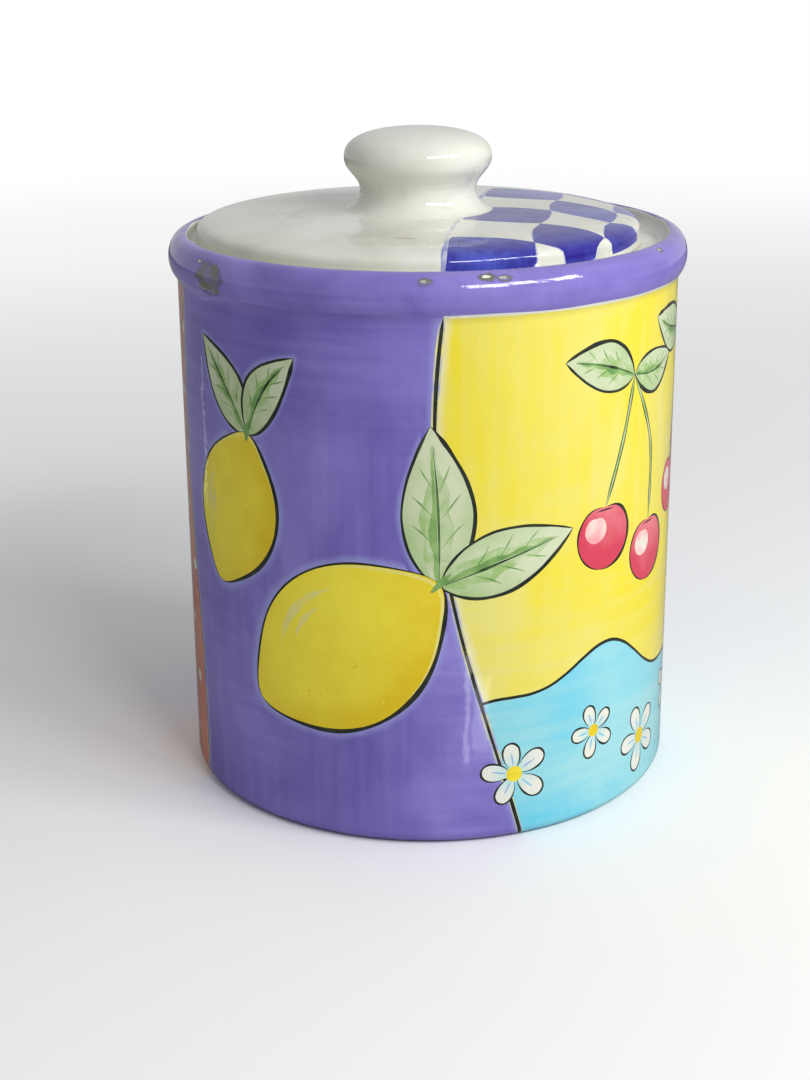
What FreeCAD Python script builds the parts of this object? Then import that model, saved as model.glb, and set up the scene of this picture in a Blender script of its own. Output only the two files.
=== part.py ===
import FreeCAD, Part
import math
import os

# A round earthenware biscuit jar: a straight body with a rolled rim, and a domed lid with a hollow knob.
# The body is one fired piece. It is made here as a foot, a wall and a rim that meet on level planes.
# Millimetres. The origin is the centre of the foot ring's underside, and +Z is up.

# Body
body_radius = 90.0
wall = 5.5
floor_thickness = 5.5
floor_corner = 4.0
foot_recess = 2.5
foot_ring_width = 9.0
foot_corner = 4.5

# Rolled rim, whose section is an ellipse
rim_top = 201.0
rim_overhang = 2.9
rim_half_width = 6.0
rim_half_height = 8.0
rim_crease = 2.4
rim_inner_round = 1.0

# Gallery inside the rim, which carries the lid
cove_radius = 3.8
ledge_width = 8.6
throat_round = 1.0
ledge_thickness = 4.5
ledge_haunch = 11.5

# Lid, which lies on the ledge, pushed to one side until its flange is near the throat
lid_cove_gap = 0.3
lid_lip_height = 2.5
lid_lip_round = 1.2
lid_lip_step = 0.35
lid_height = 11.2
lid_thickness = 5.6
lid_shoulder = 15.2
lid_play = 3.7
lid_side_gap = 0.4
flange_depth = 8.0
flange_thickness = 4.6
vent_radius = 3.0

# Knob, a hollow mushroom that stands on the lid's crown
knob_base_radius = 27.5
knob_base_lip = 0.4
knob_neck_radius = 20.8
knob_neck_height = 7.2
knob_cap_radius = 26.3
knob_cap_level = 18.4
knob_height = 28.6
knob_wall = 5.2

# Roundness of the two domes: 2 is an ellipse, and more is squarer
lid_dome_side = 4.18
lid_dome_top = 4.78
knob_dome = 2.5

# Levels and radii that follow from the sizes above
floor_level = foot_recess + floor_thickness
inner_radius = body_radius - wall
wall_bottom = floor_level + floor_corner
rim_crest_radius = body_radius + rim_overhang - rim_half_width
cove_top = (rim_crest_radius - rim_inner_round, rim_top - rim_inner_round)
cove_foot = (cove_top[0] - cove_radius, cove_top[1] - cove_radius)
ledge_level = cove_foot[1]
throat_radius = cove_foot[0] - ledge_width
lid_shift = lid_side_gap - lid_play
lid_radius = cove_foot[0] - lid_cove_gap + lid_shift + lid_lip_round
throat_bottom = ledge_level - ledge_thickness
wall_top = throat_bottom - ledge_haunch
flange_radius = throat_radius - lid_play
crown_level = ledge_level + lid_height
knob_top = crown_level + knob_height


def point(radius, height):
    return FreeCAD.Vector(radius, 0, height)


def line(start, end):
    return Part.LineSegment(point(*start), point(*end)).toShape()


def arc(start, apex, end):
    """The round arc from start to end whose end tangents meet at apex, which is as far from both."""
    middle = [(a + b) / 2 for a, b in zip(start, end)]
    half_chord = math.dist(start, middle)
    rise = math.dist(apex, middle)
    if rise < 1e-6 * half_chord:
        return line(start, end)
    half_turn = math.atan2(rise, half_chord)
    share = math.tan(half_turn / 2) / math.tan(half_turn)
    through = [m + (a - m) * share for m, a in zip(middle, apex)]
    return Part.Arc(point(*start), point(*through), point(*end)).toShape()


def two_arcs(start, leaving, end, arriving):
    """Two tangent arcs that leave start and arrive at end in the given directions."""
    across = [b - a for a, b in zip(start, end)]
    along = sum(v * (a + b) for v, a, b in zip(across, leaving, arriving))
    turning = 2 * (1 - sum(a * b for a, b in zip(leaving, arriving)))
    distance = sum(v * v for v in across)
    if turning < 1e-9:
        reach = distance / (2 * along)
    else:
        reach = (math.sqrt(along * along + turning * distance) - along) / turning
    first_apex = [a + t * reach for a, t in zip(start, leaving)]
    second_apex = [a - t * reach for a, t in zip(end, arriving)]
    joint = [(a + b) / 2 for a, b in zip(first_apex, second_apex)]
    return [arc(start, first_apex, joint), arc(joint, second_apex, end)]


def smooth(stations):
    """Tangent arcs through stations, each of which is a place and the direction there."""
    edges = []
    for (start, leaving), (end, arriving) in zip(stations, stations[1:]):
        edges += two_arcs(start, leaving, end, arriving)
    return edges


def unit(direction):
    size = math.hypot(*direction)
    return (direction[0] / size, direction[1] / size)


def dome(base, radius, height, side, top, end_radius=0.0, steps=3):
    """The dome's outline, upright at its edge and level where it ends at end_radius."""
    last = math.asin((end_radius / radius) ** (side / 2))
    stations = [((radius, base), (0, 1))]
    for step in range(1, steps):
        turn = math.pi / 2 + (last - math.pi / 2) * step / steps
        across, up = math.sin(turn), math.cos(turn)
        place = (radius * across ** (2 / side), base + height * up ** (2 / top))
        slope = (-radius / side * across ** (2 / side - 1) * up, height / top * up ** (2 / top - 1) * across)
        stations.append((place, unit(slope)))
    stations.append(((end_radius, base + height), (-1, 0)))
    return smooth(stations)


def turned(edges):
    """The solid that a closed half section makes when it turns about the upright axis."""
    section = Part.Face(Part.Wire(edges))
    return section.revolve(FreeCAD.Vector(0, 0, 0), FreeCAD.Vector(0, 0, 1), 360)


def rim_station(turn):
    """A place on the rolled rim's ellipse, and the direction of the ellipse there."""
    centre = (rim_crest_radius, rim_top - rim_half_height)
    place = (centre[0] + rim_half_width * math.cos(turn), centre[1] + rim_half_height * math.sin(turn))
    return place, unit((-rim_half_width * math.sin(turn), rim_half_height * math.cos(turn)))


def rolled_rim():
    """The soft crease under the rolled rim and the roll itself, up to its crest."""
    meets_wall = -math.acos((rim_half_width - rim_overhang) / rim_half_width)
    after_crease = meets_wall + rim_crease / rim_half_height
    crease_start = (body_radius, rim_station(meets_wall)[0][1] - rim_crease)
    return [(crease_start, (0, 1))] + [rim_station(turn) for turn in (after_crease, 0, math.pi / 2)]


def make_jar_foot():
    """The floor with the foot ring under it, up to where the wall is straight inside."""
    foot_outer = body_radius - foot_corner
    foot_inner = foot_outer - foot_ring_width
    corner_foot = (inner_radius - floor_corner, floor_level)
    edges = [
        line((0, foot_recess), (foot_inner - foot_recess, foot_recess)),
        line((foot_inner - foot_recess, foot_recess), (foot_inner, 0)),
        line((foot_inner, 0), (foot_outer, 0)),
        arc((foot_outer, 0), (body_radius, 0), (body_radius, foot_corner)),
        line((body_radius, foot_corner), (body_radius, wall_bottom)),
        line((body_radius, wall_bottom), (inner_radius, wall_bottom)),
        arc((inner_radius, wall_bottom), (inner_radius, floor_level), corner_foot),
        line(corner_foot, (0, floor_level)),
        line((0, floor_level), (0, foot_recess)),
    ]
    return turned(edges)


def make_jar_wall():
    corners = [
        (body_radius, wall_bottom), (body_radius, wall_top),
        (inner_radius, wall_top), (inner_radius, wall_bottom),
    ]
    return turned([line(start, end) for start, end in zip(corners, corners[1:] + corners[:1])])


def make_jar_rim():
    """The rolled rim, the gallery inside it and the slope under the gallery."""
    rim = rolled_rim()
    ledge_edge = (throat_radius + throat_round, ledge_level)
    throat_top = (throat_radius, ledge_level - throat_round)
    edges = [
        line((body_radius, wall_top), rim[0][0]),
        *smooth(rim),
        arc(rim[-1][0], (cove_top[0], rim_top), cove_top),
        arc(cove_top, (cove_top[0], ledge_level), cove_foot),
        line(cove_foot, ledge_edge),
        arc(ledge_edge, (throat_radius, ledge_level), throat_top),
        line(throat_top, (throat_radius, throat_bottom)),
        *two_arcs((throat_radius, throat_bottom), (0, -1), (inner_radius, wall_top), (0, -1)),
        line((inner_radius, wall_top), (body_radius, wall_top)),
    ]
    return turned(edges)


def make_lid():
    under_level = crown_level - lid_thickness
    flange_inner = flange_radius - flange_thickness
    flange_middle = flange_radius - flange_thickness / 2
    flange_bottom = ledge_level - flange_depth
    flange_end = flange_bottom + flange_thickness / 2
    lip_foot = (lid_radius - lid_lip_round, ledge_level)
    lip_side = (lid_radius, ledge_level + lid_lip_round)
    lip_shoulder = (lid_radius, ledge_level + lid_lip_height - lid_lip_step)
    dome_foot = (lid_radius - lid_lip_step, ledge_level + lid_lip_height)
    edges = [
        line((vent_radius, under_level), (flange_inner - lid_shoulder, under_level)),
        *two_arcs((flange_inner - lid_shoulder, under_level), (1, 0), (flange_inner, ledge_level), (0, -1)),
        line((flange_inner, ledge_level), (flange_inner, flange_end)),
        arc((flange_inner, flange_end), (flange_inner, flange_bottom), (flange_middle, flange_bottom)),
        arc((flange_middle, flange_bottom), (flange_radius, flange_bottom), (flange_radius, flange_end)),
        line((flange_radius, flange_end), (flange_radius, ledge_level)),
        line((flange_radius, ledge_level), lip_foot),
        arc(lip_foot, (lid_radius, ledge_level), lip_side),
        line(lip_side, lip_shoulder),
        arc(lip_shoulder, (lid_radius, dome_foot[1]), dome_foot),
        *dome(dome_foot[1], dome_foot[0], crown_level - dome_foot[1], lid_dome_side, lid_dome_top, knob_base_radius),
        line((knob_base_radius, crown_level), (vent_radius, crown_level)),
        line((vent_radius, crown_level), (vent_radius, under_level)),
    ]
    return turned(edges)


def knob_side(neck_radius, cap_radius, top_level):
    """The neck and the cap of the knob, or of its hollow, from the neck up to the axis."""
    neck = (neck_radius, crown_level + knob_neck_height)
    cap_foot = (cap_radius, crown_level + knob_cap_level)
    flare = two_arcs(neck, (0, 1), cap_foot, (0, 1))
    return flare + dome(cap_foot[1], cap_radius, top_level - cap_foot[1], knob_dome, knob_dome)


def make_knob():
    hollow_neck = knob_neck_radius - knob_wall
    hollow_top = knob_top - knob_wall
    base = (knob_base_radius, crown_level)
    lip = (knob_base_radius, crown_level + knob_base_lip)
    neck_level = crown_level + knob_neck_height
    edges = [
        line(base, lip),
        *two_arcs(lip, (-1, 0), (knob_neck_radius, neck_level), (0, 1)),
        *knob_side(knob_neck_radius, knob_cap_radius, knob_top),
        line((0, knob_top), (0, hollow_top)),
        *reversed(knob_side(hollow_neck, knob_cap_radius - knob_wall, hollow_top)),
        line((hollow_neck, neck_level), (hollow_neck, crown_level)),
        line((hollow_neck, crown_level), base),
    ]
    return turned(edges)


def on_the_ledge(shape):
    """Move a piece of the lid to where the lid lies in its gallery."""
    shape.translate(FreeCAD.Vector(lid_shift, 0, 0))
    return shape


def main():
    os.makedirs("parts", exist_ok=True)
    pieces = {
        "jar_foot": make_jar_foot(),
        "jar_wall": make_jar_wall(),
        "jar_rim": make_jar_rim(),
        "lid": on_the_ledge(make_lid()),
        "knob": on_the_ledge(make_knob()),
    }
    for name, shape in pieces.items():
        shape.exportStep("parts/" + name + ".step")
        box = shape.BoundBox
        print(name, shape.isValid(), shape.ShapeType, round(shape.Volume / 1000, 1), "cm3",
              round(box.ZMin, 2), round(box.ZMax, 2), round(box.XMin, 2), round(box.XMax, 2))


main()
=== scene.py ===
import bisect
import math
import random
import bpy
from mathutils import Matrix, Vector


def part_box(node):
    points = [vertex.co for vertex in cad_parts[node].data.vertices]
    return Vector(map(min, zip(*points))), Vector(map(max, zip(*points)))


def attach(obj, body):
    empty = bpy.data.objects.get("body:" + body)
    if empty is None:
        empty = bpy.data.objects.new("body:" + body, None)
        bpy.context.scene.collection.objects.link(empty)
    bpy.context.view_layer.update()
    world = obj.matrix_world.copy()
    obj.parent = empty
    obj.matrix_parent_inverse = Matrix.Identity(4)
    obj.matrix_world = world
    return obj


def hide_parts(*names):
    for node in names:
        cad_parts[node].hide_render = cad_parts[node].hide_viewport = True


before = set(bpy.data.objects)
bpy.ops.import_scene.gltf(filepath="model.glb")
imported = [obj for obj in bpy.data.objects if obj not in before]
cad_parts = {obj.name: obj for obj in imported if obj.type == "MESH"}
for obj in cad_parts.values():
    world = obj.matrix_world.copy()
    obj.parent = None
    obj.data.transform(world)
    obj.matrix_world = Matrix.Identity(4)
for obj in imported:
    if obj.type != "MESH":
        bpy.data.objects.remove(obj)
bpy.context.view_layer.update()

from types import SimpleNamespace

import bmesh
import bpy
from mathutils import Matrix, Vector
from mathutils.geometry import delaunay_2d_cdt

bl_info = {
    "name": "Painted biscuit jar",
    "version": (1, 0, 0),
    "blender": (4, 5, 0),
    "location": "3D View > Sidebar > Jar",
    "description": "Makes a painted earthenware biscuit jar with a domed lid, a hollow knob and a stage",
    "category": "Object",
}

# Outlines and drawings are in millimetres, and meshes in metres
MM = 0.001
# Columns of faces round a turned piece, and the longest edge of a painted shape
COLUMNS = 180
EDGE = 3.2
# The UV map that holds each motif's own axes
PAINT_MAP = "paint"

# Sizes read from the frame
RIM_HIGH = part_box("jar_rim")[1]
LID_LOW, LID_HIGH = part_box("lid")
KNOB_LOW, KNOB_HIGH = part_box("knob")
RIM_RADIUS = RIM_HIGH.x / MM
RIM_TOP = RIM_HIGH.z / MM
LID_SHIFT = (LID_LOW.x + LID_HIGH.x) / 2 / MM
LID_RADIUS = (LID_HIGH.x - LID_LOW.x) / 2 / MM
CROWN = KNOB_LOW.z / MM
KNOB_BASE = (KNOB_HIGH.x - KNOB_LOW.x) / 2 / MM
KNOB_TOP = KNOB_HIGH.z / MM
FLANGE_BOTTOM = LID_LOW.z / MM

# Shapes of the lid and the knob that the frame's boxes don't give
LIP_STEP = 0.35
LIP_ROUND = 1.2
LID_SHOULDER = 15.2
DOME_SIDE = 4.18
DOME_TOP = 4.78
KNOB_DOME = 2.5
KNOB_NECK_LEVEL = 7.2
KNOB_CAP_LEVEL = 18.4
KNOB_SUNK = 0.5
UNDER_KNOB = KNOB_BASE - 6


# Sizes and colours that a user would change

def measure(name, description, millimetres):
    return bpy.props.FloatProperty(
        name=name, description=description, default=millimetres * MM, unit="LENGTH", subtype="DISTANCE")


class JarSizes(bpy.types.PropertyGroup):
    """Sizes of the turned pieces, beside those that the frame gives"""
    rim_overhang: measure("Rim overhang", "How far the rim stands out", 2.9)
    rim_width: measure("Rim roll width", "Half the width of the roll", 6.0)
    rim_height: measure("Rim roll height", "Half the height of the roll", 8.0)
    rim_crease: measure("Rim crease", "Softness of the crease below", 2.4)
    wall: measure("Wall", "Thickness of the wall", 5.5)
    foot_corner: measure("Foot corner", "Radius of the lower corner", 4.5)
    foot_width: measure("Foot ring width", "Width of the foot ring", 9.0)
    foot_recess: measure("Foot recess", "Depth inside the foot ring", 2.5)
    floor_corner: measure("Floor corner", "Radius of the inner corner", 4.0)
    lip_round: measure("Inner lip", "Radius of the rim's inner edge", 1.0)
    cove: measure("Cove", "Radius of the gallery's cove", 3.8)
    ledge: measure("Ledge", "Width of the ledge under the lid", 8.6)
    ledge_depth: measure("Ledge depth", "Height of the throat", 4.5)
    haunch: measure("Haunch", "Height of the slope under the ledge", 11.5)
    lid_lip: measure("Lid lip", "Height of the lid's thin lip", 2.5)
    lid_wall: measure("Lid thickness", "Thickness of the dome", 5.6)
    flange_wall: measure("Flange thickness", "Thickness of the flange", 4.6)
    lid_play: measure("Lid play", "Gap from the throat to the flange", 3.7)
    vent: measure("Vent radius", "Radius of the hole into the knob", 3.0)
    knob_neck: measure("Knob neck", "Radius of the knob's neck", 20.8)
    knob_cap: measure("Knob cap", "Largest radius of the knob", 26.3)
    knob_wall: measure("Knob wall", "Thickness of the hollow knob", 5.2)


def colour(name, red, green, blue):
    """A colour that is given as it looks on a screen, from 0 to 255."""
    return bpy.props.FloatVectorProperty(
        name=name, description=name + " as painted", subtype="COLOR_GAMMA", size=3, min=0, max=1,
        default=(red / 255, green / 255, blue / 255),
    )


class JarColours(bpy.types.PropertyGroup):
    """Colours of the glazes and paints"""
    glaze: colour("White glaze", 226, 226, 214)
    glaze_shade: colour("White glaze in its thin places", 200, 200, 184)
    violet: colour("Violet", 139, 127, 203)
    violet_deep: colour("Deep violet", 108, 95, 174)
    violet_pale: colour("Pale violet", 152, 156, 214)
    yellow: colour("Yellow", 232, 214, 52)
    yellow_pale: colour("Pale yellow", 226, 218, 128)
    turquoise: colour("Turquoise", 104, 200, 224)
    turquoise_pale: colour("Pale turquoise", 158, 214, 220)
    terracotta: colour("Terracotta", 196, 106, 78)
    terracotta_pale: colour("Pale terracotta", 222, 146, 118)
    lemon: colour("Lemon", 242, 226, 66)
    lemon_deep: colour("Lemon in shade", 222, 192, 26)
    leaf: colour("Leaf", 204, 212, 178)
    leaf_mid: colour("Leaf wash", 150, 184, 112)
    leaf_deep: colour("Leaf in shade", 96, 142, 74)
    cherry: colour("Cherry", 206, 62, 84)
    cherry_pale: colour("Pale cherry", 238, 158, 160)
    cobalt: colour("Cobalt", 40, 28, 140)
    cobalt_pale: colour("Pale cobalt", 78, 92, 196)
    ink: colour("Brush line", 24, 30, 24)
    ink_thin: colour("Thin brush line", 54, 60, 38)
    clay: colour("Bare clay", 206, 180, 148)
    chip: colour("Chipped rim", 138, 150, 146)
    worn: colour("Worn rim", 112, 110, 98)
    smudge: colour("Smudge", 168, 160, 136)


# Outlines of the turned pieces: points of a radius and a height

def steps(first, last, count):
    """Evenly spaced values from first to last."""
    return [first + (last - first) * i / count for i in range(count + 1)]


def between(first, last, gap=4.0):
    """Evenly spaced values from first to last, about gap apart."""
    return steps(first, last, max(1, round(abs(last - first) / gap)))


def turns(count):
    return steps(0, math.tau, count)[:-1]


def arc(centre, radius, first, last, count=8):
    """Points on a round arc, between two angles in degrees."""
    angles = [math.radians(angle) for angle in steps(first, last, count)]
    return [(centre[0] + radius * math.cos(angle), centre[1] + radius * math.sin(angle)) for angle in angles]


def stretch(start, end, longest):
    """Points on a straight line, no further apart than longest."""
    count = max(1, math.ceil(math.dist(start, end) / longest))
    return list(zip(*(steps(a, b, count) for a, b in zip(start, end))))


def bend(start, leaving, end, arriving, count=12):
    """Points on a smooth curve with the given directions at its ends."""
    reach = math.dist(start, end) / 2.6
    corners = (start, [a + d * reach for a, d in zip(start, leaving)],
               [b - d * reach for b, d in zip(end, arriving)], end)
    points = []
    for t in steps(0, 1, count):
        weights = ((1 - t) ** 3, 3 * t * (1 - t) ** 2, 3 * t * t * (1 - t), t ** 3)
        points.append(tuple(sum(w * c[axis] for w, c in zip(weights, corners)) for axis in (0, 1)))
    return points


def dome(base, radius, height, side, top, inner=0.0, count=22):
    """Points on a dome, from its upright edge to where it ends at the inner radius."""
    last = math.asin((inner / radius) ** (side / 2))
    points = [(radius * math.sin(turn) ** (2 / side), base + height * max(0.0, math.cos(turn)) ** (2 / top))
              for turn in steps(math.pi / 2, last, count)]
    return [(radius, base), *points[1:-1], (inner, base + height)]


def joined(*stretches):
    """One outline from several, without the points that two of them share."""
    points = []
    for point in (point for part in stretches for point in part):
        if not points or math.dist(point, points[-1]) > 1e-4:
            points.append(point)
    return points


def softened(points, radius, count=3):
    """The outline with its corners rounded off."""
    soft = [points[0]]
    for before, corner, after in zip(points, points[1:], points[2:]):
        corner = Vector(corner)
        back = (Vector(before) - corner).normalized() * radius
        ahead = (Vector(after) - corner).normalized() * radius
        if abs(back.normalized().dot(ahead.normalized())) > 0.98:
            soft.append(tuple(corner))
            continue
        soft += [tuple((1 - t) ** 2 * (corner + back) + 2 * t * (1 - t) * corner + t * t * (corner + ahead))
                 for t in steps(0, 1, count)]
    return soft + [points[-1]]


class Outline:
    """An outline with the length along it at each point, and the outward direction there."""

    def __init__(self, points, start, side=1):
        self.points = points
        self.along = [start]
        for a, b in zip(points, points[1:]):
            self.along.append(self.along[-1] + math.dist(a, b))
        self.facing = [Vector((b[1] - a[1], a[0] - b[0])).normalized() * side
                       for a, b in zip(points[:1] + points, points[1:] + points[-1:])]

    def first(self, test):
        """The length along the outline at the first point that passes the test."""
        return next(length for length, point in zip(self.along, self.points) if test(point))

    def at(self, length):
        """The radius, the height and the facing at a length along the outline."""
        length = min(max(length, self.along[0]), self.along[-1])
        i = min(max(bisect.bisect_left(self.along, length) - 1, 0), len(self.along) - 2)
        share = (length - self.along[i]) / (self.along[i + 1] - self.along[i])
        radius, height = (a + (b - a) * share for a, b in zip(self.points[i], self.points[i + 1]))
        return radius, height, self.facing[i].lerp(self.facing[i + 1], share)


# Paintings

def closed(outline):
    """Each point of a closed outline with the one after it."""
    return list(zip(outline, outline[1:] + outline[:1]))


def oval(middle, across, up, count):
    return [(middle[0] + across * math.cos(turn), middle[1] + up * math.sin(turn)) for turn in turns(count)]


def along_curve(corners, count=10):
    """Points on a smooth curve through the corners."""
    ends = [Vector(corner) for corner in (corners[0], *corners, corners[-1])]
    points = []
    for p0, p1, p2, p3 in zip(ends, ends[1:], ends[2:], ends[3:]):
        points += [0.5 * (2 * p1 + (p2 - p0) * t + (2 * p0 - 5 * p1 + 4 * p2 - p3) * t * t
                          + (3 * p1 - p0 - 3 * p2 + p3) * t ** 3) for t in steps(0, 1, count)[:-1]]
    return points + [ends[-1]]


class Painting:
    """A flat drawing of closed shapes, of which a later one covers an earlier one."""

    def __init__(self, seed):
        self.rng = random.Random(seed)
        self.points = []
        self.shapes = []

    def shape(self, outline, paint, place=(0.0, 0.0, 0.0, 100.0, 100.0), within=None):
        """A closed shape. place is its middle, turn, half length and half width, or maps a point of it."""
        if sum(a[0] * b[1] - b[0] * a[1] for a, b in closed(outline)) < 0:
            outline = outline[::-1]
        outline = [point for a, b in closed(outline) for point in stretch(a, b, EDGE)[:-1]]
        first = len(self.points)
        self.points += outline
        self.shapes.append((range(first, first + len(outline)), paint, place, within))
        return len(self.shapes) - 1

    def wave(self, size, longest):
        """A smooth random wave of one variable, about as high as size."""
        draw = self.rng.uniform
        waves = [(draw(0.5, 1.0), draw(0, math.tau), longest / draw(1, 3.5)) for _ in range(4)]
        total = sum(height for height, _, _ in waves)
        return lambda x: size * sum(
            h * math.sin(math.tau * x / span + shift) for h, shift, span in waves) / total

    def line(self, corners, width, paint, ends=0.25, within=None):
        """A line of a soft brush, thin at its ends and uneven between them."""
        points = along_curve(corners)
        uneven = self.wave(0.28, 0.8)
        last = len(points) - 1
        left, right = [], []
        for i, point in enumerate(points):
            share = i / last
            taper = min(1.0, share / ends + 0.12, (1 - share) / ends + 0.12)
            run = points[min(i + 1, last)] - points[max(i - 1, 0)]
            half = max(width / 2 * taper * (1 + uneven(share)), 0.04)
            across = Vector((-run.y, run.x)).normalized() * half
            left.append(tuple(point + across))
            right.append(tuple(point - across))
        self.shape(left + right[::-1], paint, within=within)

    def solved(self):
        """The drawing's points and triangles, with the top shape of each triangle."""
        points, _, faces, _, _, covering = delaunay_2d_cdt(
            [Vector(point) for point in self.points], [], [list(shape[0]) for shape in self.shapes], 0, 1e-5)
        tops = []
        for shapes in covering:
            shown = [s for s in shapes if self.shapes[s][3] is None or self.shapes[s][3] in shapes]
            tops.append(max(shown) if shown else None)
        return points, faces, tops


def turned_by(place, x, y):
    """A point of a motif, given in its own axes, in the drawing."""
    u, v, turn = place[:3]
    return (u + x * math.cos(turn) - y * math.sin(turn), v + x * math.sin(turn) + y * math.cos(turn))


def in_motif(place, point):
    """A point of the drawing in a motif's own axes, where its ends and sides are at 1."""
    x, y = point[0] - place[0], point[1] - place[1]
    cos, sin = math.cos(place[2]), math.sin(place[2])
    return (x * cos + y * sin) / place[3], (y * cos - x * sin) / place[4]


def halo(painting, place, outline, reach):
    """Pale paint round a motif, which fades out into the field at reach beyond the motif's edge."""
    middle = Vector(place[:2])
    grown = []
    for before, point, after in zip(outline[-1:] + outline[:-1], outline, outline[1:] + outline[:1]):
        out = Vector((after[1] - before[1], before[0] - after[0])).normalized()
        side = -1 if out.dot(Vector(point) - middle) < 0 else 1
        grown.append(tuple(Vector(point) + out * side * reach))
    edge = [(Vector(a), Vector(b) - Vector(a)) for a, b in closed(outline)]

    def away(point):
        point = Vector(point)
        least = reach
        for start, run in edge:
            share = min(max((point - start).dot(run) / max(run.length_squared, 1e-9), 0.0), 1.0)
            least = min(least, (start + run * share - point).length)
        return 0.0, least / reach

    painting.shape(grown, "violet_halo", away)


LEAF_SHARES = steps(0, 1, 22)


def leaf_form(base, tip, width):
    """The place of a leaf, and a function for its points from a share of its length and one across."""
    base, tip = Vector(base), Vector(tip)
    size = (tip - base).length
    place = (*(base + tip) / 2, math.atan2(tip.y - base.y, tip.x - base.x), size / 2, width / 2)
    bow = 0.09 * size * math.sin(3.7 * tip.x + tip.y)

    def spot(share, across):
        belly = math.sin(math.pi * share ** 0.82) ** 0.9 if 0 < share < 1 else 0.0
        y = across * width / 2 * belly + bow * math.sin(math.pi * share)
        return turned_by(place, (share - 0.5) * size, y)

    return place, spot


def leaf_outline(spot):
    return [spot(share, 1) for share in LEAF_SHARES] + [spot(share, -1) for share in LEAF_SHARES[-2:0:-1]]


def leaf(painting, base, tip, width):
    """A painted leaf: a pale body, green washes, a middle vein and a brushed edge."""
    place, spot = leaf_form(base, tip, width)
    painting.shape(leaf_outline(spot), "leaf_paint", place)
    for side, reach, paint in ((1, 0.62, "leaf_wash"), (-1, 0.5, "leaf_wash"), (1, 0.3, "leaf_shade")):
        edge = painting.wave(0.12, 0.7)
        wash = [spot(share * 0.86 + 0.03, side * (reach * (1 - share) ** 0.5 + edge(share)))
                for share in LEAF_SHARES]
        back = [spot(share * 0.86 + 0.03, side * 0.05) for share in LEAF_SHARES]
        painting.shape(wash + back[::-1], paint, place)
    for share in (0.24, 0.42, 0.6):
        for side in (-1, 1):
            reach = side * painting.rng.uniform(0.62, 0.8)
            rib = (spot(share, side * 0.06), spot(share + 0.1, reach * 0.6), spot(share + 0.16, reach))
            painting.line(rib, 0.55, "leaf_shade", 0.5)
    painting.line([spot(share, 0) for share in (0.0, 0.3, 0.6, 0.88)], 0.85, "leaf_line", 0.4)
    for side, weight in ((1, 0.95), (-1, 1.35)):
        edge = [spot(share, side) for share in (0.0, 0.1, 0.25, 0.45, 0.65, 0.82, 0.93, 1.0)]
        painting.line(edge, weight, "ink", 0.22)


def lemon_form(middle, turn, size, width):
    """The place of a lemon, and a function for its points from an angle and a share of its size."""
    place = (*middle, turn, size / 2, width / 2)

    def spot(angle, share=1.0):
        x, y = math.cos(angle), math.sin(angle)
        body = 0.86 * x + 0.14 * math.copysign(abs(x) ** 9, x)
        return turned_by(place, body * size / 2 * share, y * abs(y) ** 0.08 * share * width / 2)

    return place, spot


def lemon_outline(spot):
    return [spot(turn) for turn in turns(72)]


def lemon(painting, middle, turn, size, width):
    """A painted lemon with a nippled end, pores and a brushed edge."""
    place, spot = lemon_form(middle, turn, size, width)
    painting.shape(lemon_outline(spot), "lemon_paint", place)

    def stroke(first, last, count, share, weight, paint, ends):
        painting.line([spot(angle, share) for angle in steps(first, last, count)], weight, paint, ends)

    stroke(1.2, 2.5, 8, 0.72, 3.4, "lemon_light", 0.5)
    stroke(1.5, 2.3, 8, 0.56, 2.2, "lemon_light", 0.5)
    stroke(-1.3, 1.3, 16, 0.965, 1.1, "lemon_light", 0.4)
    draw = painting.rng.uniform
    for _ in range(26):
        pore = spot(draw(-2.9, -0.2), draw(0.25, 0.82))
        across = draw(0.3, 0.55)
        painting.shape(oval(pore, across, across, 8), "lemon_shade", place)
    stroke(0.1, 3.3, 24, 1, 0.8, "ink", 0.2)
    stroke(3.2, 6.4, 24, 1, 1.5, "ink", 0.2)


def cherry(painting, middle, radius):
    """A painted cherry, paler where the light falls, with a dimple and a brushed edge."""
    place = (*middle, 0.0, radius, radius)

    def spot(angle, size=1.0, x=0.0, y=0.0):
        dip = 1 - 0.14 * math.exp(-((math.sin((angle - math.pi / 2) / 2)) / 0.22) ** 2)
        reach = size * dip
        return (middle[0] + radius * (reach * math.cos(angle) + x),
                middle[1] + radius * (reach * math.sin(angle) * 0.96 + y))

    painting.shape([spot(turn) for turn in turns(48)], "cherry_paint", place)
    painting.shape([spot(turn, 0.4, -0.34, 0.22) for turn in turns(24)], "cherry_light", place)
    for first, last, weight in ((1.7, 4.6, 0.7), (-1.75, 1.5, 1.2)):
        painting.line([spot(angle) for angle in steps(first, last, 16)], weight, "ink")
    dimple = [spot(math.pi / 2 + turn, 0.9) for turn in (-0.45, -0.1, 0.1, 0.45)]
    painting.line(dimple, 0.6, "ink", 0.4)


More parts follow.
